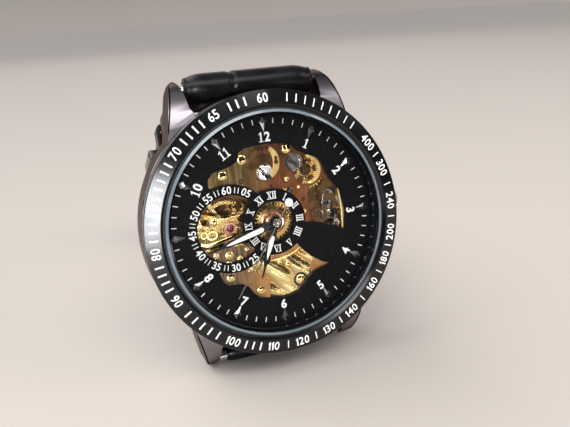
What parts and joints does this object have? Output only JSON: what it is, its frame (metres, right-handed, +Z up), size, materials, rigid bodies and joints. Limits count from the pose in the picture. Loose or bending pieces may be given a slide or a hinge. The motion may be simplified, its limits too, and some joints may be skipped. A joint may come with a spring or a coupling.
{
  "type": "skeleton wristwatch",
  "caption": "Skeleton wristwatch: round steel case, black number bezel, open dial over a gold movement, three hands, crown and black leather strap buckled in a loop.",
  "frame": {"origin": "on the table plane, in the middle of the flat underside of the lower strap, on the watch's centre plane", "axes": "+Z up, +X towards 3 o'clock, dial facing -Y and leaning back 9 degrees"},
  "size_m": [0.0444, 0.0759, 0.0481],
  "materials": {
    "case_steel": "brushed brown gunmetal flank, polished lug tops",
    "bezel_steel": "polished",
    "bezel_black": "gloss black with a white printed scale",
    "crystal_glass": "clear with a ground edge",
    "gasket_black": "matte",
    "flange_black": "gloss black",
    "dial_black": "satin black with white print",
    "mark_steel": "polished facets",
    "holder_plastic": "moulded",
    "gold_plate": "polished gold plate",
    "copper_plate": "brushed copper brown",
    "train_brass": "gilt",
    "bright_steel": "polished",
    "screw_gold": "polished heads",
    "ruby": "polished",
    "blue_spring": "blued",
    "hand_black": "gloss black with white inlay",
    "strap_leather": "gloss black, square scale embossing",
    "buckle_steel": "polished"
  },
  "bodies": {
    "watch": {"case_body": "case_steel", "case_tube": "bezel_steel", "bezel_ring": "bezel_steel", "bezel_insert": "bezel_black", "crystal": "crystal_glass", "crystal_gasket": "gasket_black", "dial_flange": "flange_black", "dial": "dial_black", "roman_ring": "dial_black", "hour_marks": "mark_steel", "movement_holder": "holder_plastic", "case_back": "case_steel", "back_glass": "crystal_glass", "back_screws": "bezel_steel", "main_plate": "gold_plate", "front_bridge": "gold_plate", "cover_plate": "copper_plate", "lower_bridge": "gold_plate", "balance_bridge": "gold_plate", "pallet_bridge": "gold_plate", "jewels": "ruby", "plate_screws": "screw_gold", "wheel_screws": "bright_steel", "click_spring": "bright_steel", "strap_12": "strap_leather", "strap_6": "strap_leather", "spring_bars": "bright_steel", "buckle_frame": "buckle_steel", "fixed_keeper": "strap_leather"},
    "seconds": {"fourth_wheel": "train_brass", "seconds_hand": "hand_black"},
    "second_wheel": {"second_wheel": "train_brass"},
    "third_wheel": {"third_wheel": "train_brass"},
    "escape_wheel": {"escape_wheel": "bright_steel"},
    "barrel": {"barrel_drum": "train_brass", "barrel_cover": "train_brass"},
    "minutes": {"cannon_pinion": "bright_steel", "minute_hand": "hand_black"},
    "minute_wheel": {"minute_wheel": "train_brass"},
    "hours": {"hour_wheel": "train_brass", "hour_hand": "hand_black"},
    "ratchet": {"ratchet_wheel": "bright_steel", "ratchet_screw": "bright_steel", "barrel_arbor": "bright_steel", "mainspring": "blue_spring"},
    "inter_wheel": {"inter_wheel": "train_brass"},
    "idler_wheel": {"idler_wheel": "bright_steel"},
    "crown_wheel": {"crown_wheel": "bright_steel"},
    "winding_pinion": {"winding_pinion": "bright_steel"},
    "sliding_pinion": {"sliding_pinion": "bright_steel"},
    "crown": {"crown": "case_steel", "stem": "bright_steel"},
    "setting_lever": {"setting_lever": "bright_steel"},
    "yoke": {"yoke": "bright_steel"},
    "pallet_fork": {"pallet_fork": "bright_steel"},
    "balance": {"balance_wheel": "train_brass", "hairspring": "blue_spring"},
    "click": {"click": "bright_steel"},
    "tongue": {"buckle_tongue": "buckle_steel"},
    "loop_keeper": {"loop_keeper": "strap_leather"}
  },
  "joints": [
    {"name": "seconds_turn", "type": "hinge", "parent": "watch", "child": "seconds", "pos_m": [0, -0.024, 0.02454], "axis": [0, -0.9877, 0.1564], "continuous": true},
    {"name": "third_turn", "type": "hinge", "parent": "watch", "child": "third_wheel", "pos_m": [0.00333, -0.02389, 0.02523], "axis": [0, -0.9877, 0.1564], "continuous": true},
    {"name": "second_wheel_turn", "type": "hinge", "parent": "watch", "child": "second_wheel", "pos_m": [0.00281, -0.02333, 0.02875], "axis": [0, -0.9877, 0.1564], "continuous": true},
    {"name": "barrel_turn", "type": "hinge", "parent": "watch", "child": "barrel", "pos_m": [-0.0004, -0.02273, 0.03254], "axis": [0, -0.9877, 0.1564], "continuous": true},
    {"name": "escape_turn", "type": "hinge", "parent": "watch", "child": "escape_wheel", "pos_m": [-0.00233, -0.02437, 0.02223], "axis": [0, -0.9877, 0.1564], "continuous": true},
    {"name": "minute_turn", "type": "hinge", "parent": "watch", "child": "minutes", "pos_m": [0, -0.024, 0.02454], "axis": [0, -0.9877, 0.1564], "continuous": true},
    {"name": "minute_wheel_turn", "type": "hinge", "parent": "watch", "child": "minute_wheel", "pos_m": [0.00272, -0.0238, 0.02579], "axis": [0, -0.9877, 0.1564], "continuous": true},
    {"name": "hour_turn", "type": "hinge", "parent": "watch", "child": "hours", "pos_m": [0, -0.024, 0.02454], "axis": [0, -0.9877, 0.1564], "continuous": true},
    {"name": "crown_turn", "type": "hinge", "parent": "watch", "child": "winding_pinion", "pos_m": [0.00965, -0.02074, 0.02402], "axis": [1, 0, 0], "continuous": true},
    {"name": "crown_pull", "type": "slide", "parent": "winding_pinion", "child": "crown", "axis": [1, 0, 0], "range_m": [0, 0.001]},
    {"name": "clutch_slide", "type": "slide", "parent": "winding_pinion", "child": "sliding_pinion", "axis": [1, 0, 0], "range_m": [-0.0006, 0]},
    {"name": "setting_lever_turn", "type": "hinge", "parent": "watch", "child": "setting_lever", "pos_m": [0.01125, -0.02308, 0.02206], "axis": [0, -0.9877, 0.1564], "range_deg": [-28.6, 0]},
    {"name": "yoke_turn", "type": "hinge", "parent": "watch", "child": "yoke", "pos_m": [0.009, -0.02121, 0.02106], "axis": [0, -0.9877, 0.1564], "range_deg": [0, 17.1]},
    {"name": "crown_wheel_turn", "type": "hinge", "parent": "watch", "child": "crown_wheel", "pos_m": [0.00775, -0.024, 0.02454], "axis": [0, -0.9877, 0.1564], "continuous": true},
    {"name": "idler_turn", "type": "hinge", "parent": "watch", "child": "idler_wheel", "pos_m": [0.00725, -0.02349, 0.02776], "axis": [0, -0.9877, 0.1564], "continuous": true},
    {"name": "inter_turn", "type": "hinge", "parent": "watch", "child": "inter_wheel", "pos_m": [0.00658, -0.02281, 0.03205], "axis": [0, -0.9877, 0.1564], "continuous": true},
    {"name": "ratchet_turn", "type": "hinge", "parent": "watch", "child": "ratchet", "pos_m": [-0.0004, -0.02273, 0.03254], "axis": [0, -0.9877, 0.1564], "continuous": true},
    {"name": "pallet_rock", "type": "hinge", "parent": "watch", "child": "pallet_fork", "pos_m": [-0.00445, -0.02421, 0.02323], "axis": [0, -0.9877, 0.1564], "range_deg": [-5, 5]},
    {"name": "balance_swing", "type": "hinge", "parent": "watch", "child": "balance", "pos_m": [-0.0072, -0.024, 0.02454], "axis": [0, -0.9877, 0.1564], "range_deg": [-270, 270], "stiffness_Nm_per_rad": 0.0000003},
    {"name": "click_rock", "type": "hinge", "parent": "watch", "child": "click", "pos_m": [-0.0056, -0.02287, 0.03165], "axis": [0, -0.9877, 0.1564], "range_deg": [-12, 0]},
    {"name": "tongue_lift", "type": "hinge", "parent": "watch", "child": "tongue", "pos_m": [0, 0.03198, 0.026], "axis": [1, 0, 0], "range_deg": [0, 8]},
    {"name": "keeper_slide", "type": "slide", "parent": "watch", "child": "loop_keeper", "axis": [0, -0.9224, 0.3861], "range_m": [-0.005, 0.004]}
  ],
  "couplings": [
    {"joint": "third_turn", "follows": "seconds_turn", "ratio": -0.13333},
    {"joint": "second_wheel_turn", "follows": "seconds_turn", "ratio": 0.016667},
    {"joint": "barrel_turn", "follows": "seconds_turn", "ratio": -0.0022727},
    {"joint": "escape_turn", "follows": "seconds_turn", "ratio": -10},
    {"joint": "minute_turn", "follows": "seconds_turn", "ratio": 0.016667},
    {"joint": "minute_wheel_turn", "follows": "seconds_turn", "ratio": -0.0055556},
    {"joint": "hour_turn", "follows": "seconds_turn", "ratio": 0.0013889},
    {"joint": "clutch_slide", "follows": "crown_pull", "ratio": -0.6},
    {"joint": "setting_lever_turn", "follows": "crown_pull", "rad_per_m": -496.32},
    {"joint": "yoke_turn", "follows": "crown_pull", "rad_per_m": 296.71},
    {"joint": "crown_wheel_turn", "follows": "crown_turn", "ratio": -0.78261},
    {"joint": "idler_turn", "follows": "crown_turn", "ratio": 1.8},
    {"joint": "inter_turn", "follows": "crown_turn", "ratio": -0.52941},
    {"joint": "ratchet_turn", "follows": "crown_turn", "ratio": 0.5}
  ]
}
